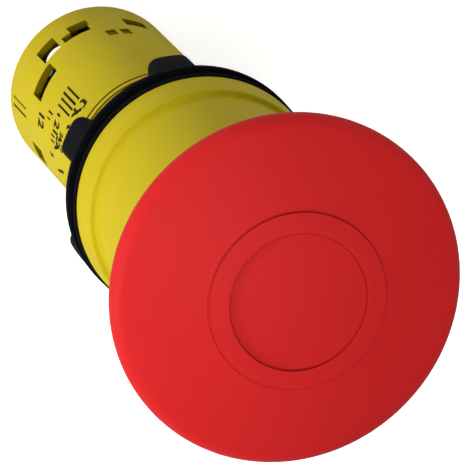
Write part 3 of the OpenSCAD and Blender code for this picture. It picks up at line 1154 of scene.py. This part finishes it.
@dataclass(frozen=True)
class Markings:
    """Terminal numbers and the contact diagram, printed on the rear housing."""

    radius: float = RearHousing.radius
    rear: float = RearHousing.low
    lift: float = 0.015
    ink: float = 0.02
    diagram_dir: float = -66.0
    diagram_z: float = -23.0
    contact_dir: float = RearHousing.contact_dir
    number_r: float = 6.4
    number_turn: float = 68.0
    number_size: float = 2.0
    thickening: float = 30.0
    slices: int = 26
    slice_width: float = 0.3

    DIAGRAM = (
        Stroke(-2.4, -3.5, -2.4, 1.9, 0.26),
        Stroke(-1.6, -3.6, -1.6, 1.9, 0.3),
        Stroke(-0.89, -3.3, -0.89, 1.9, 0.26),
        Stroke(-0.09, -3.3, -0.09, 1.9, 0.26),
        Stroke(-2.04, 4.7, -2.6, 4.5, 0.4),
        Stroke(-2.65, 4.6, -2.65, 3.1, 0.45),
        Stroke(-2.65, 3.0, -2.2, 2.7, 0.45),
        Stroke(-1.8, 4.4, -0.28, 2.6, 0.5),
        Stroke(-1.1, 4.1, -1.1, 2.2, 0.35),
        Stroke(-0.1, 5.7, 0.5, 3.7, 0.5),
        Stroke(0.8, 3.4, 1.2, 2.4, 0.45),
        Stroke(0.85, -1.2, 0.85, -2.4, 0.3),
        Stroke(4.2, 0.5, 4.8, -1.5, 0.4),
        Stroke(7.0, 1.6, 7.6, -1.4, 0.4),
    )
    NUMBERS = (
        Numeral("1", -58.2, -28.0, 2.4),
        Numeral("1", -54.0, -28.2, 1.8),
        Numeral("12", -48.6, -31.2, 3.4),
        Numeral("21", -52.6, -24.6, 3.0),
        Numeral("11", -45.0, -25.4, 2.2),
        Numeral("22", -46.6, -23.0, 2.4),
        Numeral("24", -51.0, -21.9, 1.8),
        Numeral("10", -44.6, -21.2, 1.6),
        Numeral("3", -33.0, -26.2, 2.0),
    )

    def _wrap(self, bm: BMesh, direction: float, z: float) -> BMesh:
        """Bend flat artwork round the housing.

        Args:
            bm: the artwork in the XY plane, with its depth along Z.
            direction: where its middle goes, in degrees.
            z: the height of its middle, in mm.

        Returns:
            The artwork.
        """
        for i in range(-self.slices, self.slices + 1):
            geom = bm.verts[:] + bm.edges[:] + bm.faces[:]
            at = (i * self.slice_width * MM, 0, 0)
            bmesh.ops.bisect_plane(bm, geom=geom, plane_co=at, plane_no=(1, 0, 0))
        for vert in bm.verts:
            turn = math.radians(direction) + vert.co.x / (self.radius * MM)
            r = (self.radius + self.lift) * MM + vert.co.z
            vert.co = (r * math.cos(turn), r * math.sin(turn), z * MM + vert.co.y)
        return bm

    def _number(self, text: str, size: float, narrow: float = 1.0) -> BMesh:
        """Letter a number as flat artwork.

        Args:
            text: the number.
            size: its height, in mm.
            narrow: how far its width is drawn in.

        Returns:
            The artwork.
        """
        curve = bpy.data.curves.new("number", "FONT")
        curve.body = text
        curve.align_x = "CENTER"
        curve.align_y = "CENTER"
        curve.size = size * MM
        curve.offset = size * MM / self.thickening
        curve.extrude = self.ink * MM / 2
        holder = bpy.data.objects.new("number", curve)
        bpy.context.scene.collection.objects.link(holder)
        mesh = bpy.data.meshes.new_from_object(holder.evaluated_get(bpy.context.evaluated_depsgraph_get()))
        bpy.data.objects.remove(holder)
        bpy.data.curves.remove(curve)
        bm = bmesh.new()
        bm.from_mesh(mesh)
        bpy.data.meshes.remove(mesh)
        bmesh.ops.scale(bm, vec=(narrow, 1, 1), verts=bm.verts)
        return bm

    def _drawn(self, stroke: Stroke) -> BMesh:
        """Draw one stroke as flat artwork.

        Args:
            stroke: the stroke.

        Returns:
            The artwork.
        """
        dx, dy = stroke.to_x - stroke.x, stroke.to_y - stroke.y
        bm = bmesh.new()
        place = Matrix.Translation(((stroke.x + dx / 2) * MM, (stroke.y + dy / 2) * MM, 0))
        place @= Matrix.Rotation(math.atan2(dy, dx), 4, "Z")
        size = Matrix.Diagonal((math.hypot(dx, dy) * MM, stroke.width * MM, self.ink * MM, 1))
        bmesh.ops.create_cube(bm, size=1.0, matrix=place @ size)
        return bm

    def side(self) -> BMesh:
        """Print the diagram and its numbers on the side.

        Returns:
            The printing.
        """
        strokes = joined(self._drawn(stroke) for stroke in self.DIAGRAM)
        numbers = [self._wrap(self._number(n.text, n.size, n.narrow), n.direction, n.z) for n in self.NUMBERS]
        return joined([self._wrap(strokes, self.diagram_dir, self.diagram_z), *numbers])

    def face(self) -> BMesh:
        """Print each terminal's number on the rear face, beside its screw.

        Returns:
            The printing.
        """
        made = []
        turns = (self.number_turn, 180 - self.number_turn, -self.number_turn, self.number_turn - 180)
        for text, turn in zip(TERMINALS, turns):
            way = math.radians(self.contact_dir + turn)
            at = Vector((math.cos(way), math.sin(way), 0)) * self.number_r
            at.z = self.rear - self.lift
            bm = self._number(text, self.number_size)
            place = Matrix.Translation(at * MM) @ Matrix.Rotation(math.radians(self.contact_dir), 4, "Z")
            bmesh.ops.transform(bm, matrix=place @ Matrix.Rotation(math.pi, 4, "X"), verts=bm.verts)
            made.append(bm)
        return joined(made)

    def build(self, shop: Workshop) -> None:
        """Make the printing in the workshop."""
        for name, bm in (("side_markings", self.side()), ("terminal_numbers", self.face())):
            shop.hand_over(loose(bm, name), Finishes.INK, Body.HOUSING, degrees=180)


@dataclass(frozen=True)
class GarterCoil:
    """The coiled ring spring round the tails of the pawls."""

    mean: float = 10.998
    z: float = 11.097
    coil: float = 0.5
    wire: float = 0.1
    coils: int = 72
    sides: int = 6
    steps: int = 12

    def build(self, shop: Workshop) -> None:
        """Make the coil.

        Args:
            shop: the workshop.
        """
        upright = Matrix.Rotation(TURN / 4, 4, "X")
        tip = Matrix.Translation(((self.coil - self.wire) * MM, 0, 0)) @ upright
        stand = Matrix.Translation((self.mean * MM, 0, self.z * MM)) @ upright
        loops = []
        for i in range(self.coils):
            bm = bmesh.new()
            bmesh.ops.create_circle(bm, segments=self.sides, radius=self.wire * MM, matrix=tip)
            full_turn(bm, self.steps)
            turn = Matrix.Rotation(i * TURN / self.coils, 4, "Z")
            bmesh.ops.transform(bm, matrix=turn @ stand, verts=bm.verts)
            loops.append(bm)
        piece = loose(joined(loops), "garter_coil")
        shop.hand_over(piece, Finishes.SPRING, Body.GARTER, ["garter_spring"])


@dataclass(frozen=True)
class CoilSpring:
    """A compression spring with a closed turn at each end, in the place of its node."""

    node: str
    body: Body
    turns: int
    radius: float
    wire: float = 0.35
    sides: int = 8
    steps: int = 16

    def coil(self, height: float) -> BMesh:
        """Wind the wire upwards from zero.

        Args:
            height: the height of the spring, in mm.

        Returns:
            The coil.
        """
        bm = bmesh.new()
        start = Matrix.Translation(((self.radius - self.wire / 2) * MM, 0, self.wire / 2 * MM))
        turned = start @ Matrix.Rotation(TURN / 4, 4, "X")
        bmesh.ops.create_circle(bm, segments=self.sides, radius=self.wire / 2 * MM, matrix=turned)
        last = bm.verts[:] + bm.edges[:]
        pitch = (height - 3 * self.wire) / (self.turns - 2)
        for turns, rise in ((1, self.wire), (self.turns - 2, pitch), (1, self.wire)):
            spun = bmesh.ops.spin(
                bm,
                geom=last,
                cent=(0, 0, 0),
                axis=AXIS,
                dvec=(0, 0, rise / self.steps * MM),
                angle=turns * TURN,
                steps=turns * self.steps,
                use_merge=False,
            )
            last = spun["geom_last"]
        bmesh.ops.holes_fill(bm, edges=[e for e in bm.edges if e.is_boundary], sides=0)
        bmesh.ops.recalc_face_normals(bm, faces=bm.faces)
        return bm

    def build(self, shop: Workshop) -> None:
        """Make the spring in the place of its node.

        Args:
            shop: the workshop.
        """
        low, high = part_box(self.node)
        height = high.z - low.z
        bm = self.coil(height / MM)
        foot = Vector(((low.x + high.x) / 2, (low.y + high.y) / 2, low.z))
        bmesh.ops.translate(bm, verts=bm.verts, vec=foot)
        piece = loose(bm, f"{self.node}_coil")
        shop.hand_over(piece, Finishes.SPRING, self.body, [self.node])
        if self.body is Body.HOUSING:
            travel = next(j["range_m"][1] for j in shop.frame["joints"] if j["name"] == "head_slide")
            1 - travel / height
            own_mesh(piece)


class InnerWorks:
    """The latch, the contacts and the terminals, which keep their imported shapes."""

    SPRINGS = (
        CoilSpring("carriage_spring", Body.HOUSING, 8, 1.5),
        CoilSpring("bridge_spring_1", Body.BUTTON, 5, 1.0),
        CoilSpring("bridge_spring_2", Body.BUTTON, 5, 1.0),
    )

    def build(self, shop: Workshop) -> None:
        """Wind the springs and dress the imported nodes.

        Args:
            shop: the workshop.
        """
        for spring in self.SPRINGS:
            spring.build(shop)
        latch = [f"{kind}_{i}" for kind in ("pawl", "pawl_pin") for i in (1, 2, 3)]
        fasteners = [f"{kind}_{t}" for kind in ("clamp", "screw") for t in TERMINALS]
        shop.dress(["lip_seal"], Finishes.RUBBER)
        shop.dress(["stem", "guide_bush", "pawl_carrier"], Finishes.GREY)
        shop.dress(["contact_base"], Finishes.BLACK)
        shop.dress(["contact_carriage"], Finishes.WHITE)
        shop.dress(["bridge_1", "bridge_2"], Finishes.BRASS)
        shop.dress([f"terminal_{t}" for t in TERMINALS], Finishes.BRASS)
        shop.dress(latch + fasteners, Finishes.ZINC)


# Stage


@dataclass(frozen=True)
class Lamp:
    """A soft round lamp that looks at the button."""

    name: str
    azimuth: float
    height: float
    distance: float
    size: float
    share: float

    def hang(self) -> None:
        """Hang the lamp where it lights a facing surface by its share of white."""
        data = bpy.data.lights.new(self.name, "AREA")
        data.shape = "DISK"
        data.size = self.size
        data.energy = self.share * math.pi**2 * self.distance**2
        made = bpy.data.objects.new(self.name, data)
        turn, rise = math.radians(self.azimuth), math.radians(self.height)
        way = Vector((math.cos(turn) * math.cos(rise), math.sin(turn) * math.cos(rise), math.sin(rise)))
        made.location = way * self.distance
        made.rotation_euler = way.to_track_quat("Z", "Y").to_euler()
        bpy.context.scene.collection.objects.link(made)


@dataclass(frozen=True)
class Studio:
    """The camera at the photograph's view, soft lamps and a pale floor."""

    right: tuple[float, float, float] = (-0.720079, 0.638114, 0.272574)
    up: tuple[float, float, float] = (-0.693892, -0.662195, -0.282864)
    back: tuple[float, float, float] = (-0.000002, -0.392822, 0.919615)
    place: tuple[float, float, float] = (-0.072725, -287.5863, 689.2676)
    lens: float = 497.9
    floor_z: float = -46.35
    floor_size: float = 3.0
    floor_dark: float = 0.86
    floor_light: float = 0.9
    speck_mm: float = 40.0
    sky_share: float = 0.21
    floor_glow: float = 0.73
    near: float = 0.25
    far: float = 0.75
    # Under the rear housing the floor's glow is painted: dim past a line in Y as painted shadow, full white
    # elsewhere as painted light.
    below_r: float = 10.5
    below_y: float = -5.9
    painted_shadow_glow: float = 0.15

    LAMPS = (
        Lamp("side", -34.0, 9.0, 1.2, 0.44, 0.7),
        Lamp("top", -50.0, 78.0, 0.9, 0.5, 0.58),
        Lamp("rim", -165.0, 4.0, 1.2, 0.5, 0.06),
    )

    def camera(self) -> None:
        """Put the camera where the photograph's was."""
        data = bpy.data.cameras.new("camera")
        data.lens = self.lens
        data.sensor_width = 36
        data.clip_start = 0.01
        data.clip_end = 20
        made = bpy.data.objects.new("camera", data)
        turn = Matrix((self.right, self.up, self.back)).transposed().to_4x4()
        made.matrix_world = Matrix.Translation(Vector(self.place) * MM) @ turn
        bpy.context.scene.collection.objects.link(made)
        bpy.context.scene.camera = made

    def sky(self) -> None:
        """Light the scene evenly, with a white background behind it."""
        world = bpy.data.worlds.new("studio")
        world.use_nodes = True
        tree = world.node_tree
        tree.nodes.clear()
        path = tree.nodes.new("ShaderNodeLightPath")
        mix = tree.nodes.new("ShaderNodeMixShader")
        end = tree.nodes.new("ShaderNodeOutputWorld")
        tree.links.new(path.outputs["Is Camera Ray"], mix.inputs[0])
        for index, strength in ((1, self.sky_share), (2, 1.0)):
            sky = tree.nodes.new("ShaderNodeBackground")
            sky.inputs["Color"].default_value = (1, 1, 1, 1)
            sky.inputs["Strength"].default_value = strength
            tree.links.new(sky.outputs[0], mix.inputs[index])
        tree.links.new(mix.outputs[0], end.inputs["Surface"])
        bpy.context.scene.world = world

    def floor(self) -> None:
        """Lay a pale floor that keeps the button's shadow, with painted shadow and painted light under the
        rear housing.
        """
        bm = bmesh.new()
        place = Matrix.Translation((0, 0, self.floor_z * MM))
        bmesh.ops.create_grid(bm, x_segments=1, y_segments=1, size=self.floor_size, matrix=place)
        piece = loose(bm, "floor")
        graph = Graph("pale_floor")
        speck = graph.noise(graph.place(), self.speck_mm)
        x, y, _ = graph.split(graph.place())
        white = (1.0, 1.0, 1.0)
        radius = (x * x + y * y) ** 0.5
        far = (radius - self.near) * (1 / (self.far - self.near))
        around = graph.blend(far, (self.floor_glow,) * 3, white)
        # Painted shadow under the rear housing where Y is below a line, painted light (full white glow) under
        # the rest of it.
        below = graph.blend(y < self.below_y * MM, (self.painted_shadow_glow,) * 3, white)
        glow = graph.blend(radius < self.below_r * MM, around, below)
        path = graph.node("ShaderNodeLightPath", out="Is Camera Ray")
        material = graph.surface(
            {
                "Base Color": graph.blend(speck, (self.floor_dark,) * 3, (self.floor_light,) * 3),
                "Roughness": 0.8,
                "Emission Color": graph.blend(path, (0.0, 0.0, 0.0), glow),
                "Emission Strength": 1.0,
            }
        )
        piece.data.materials.append(material)
        piece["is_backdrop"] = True

    def build(self) -> None:
        """Set up the whole stage."""
        self.camera()
        self.sky()
        self.floor()
        for lamp in self.LAMPS:
            lamp.hang()
        bpy.context.scene.view_settings.view_transform = "Standard"


def corners() -> list[list[float]]:
    """The box of the shown object as plain lists."""
    return [[float(c) for c in corner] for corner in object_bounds()]


def main() -> None:
    """Build and dress the button."""
    logging.basicConfig(level=logging.INFO, format="%(name)s: %(message)s")
    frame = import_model()
    Studio().build()
    shop = Workshop(frame)
    for part in (MushroomHead(), Front(), Fixing(), RearHousing(), Markings(), GarterCoil(), InnerWorks()):
        part.build(shop)
        LOG.info("built %s", type(part).__name__)


if __name__ == "__main__":
    main()
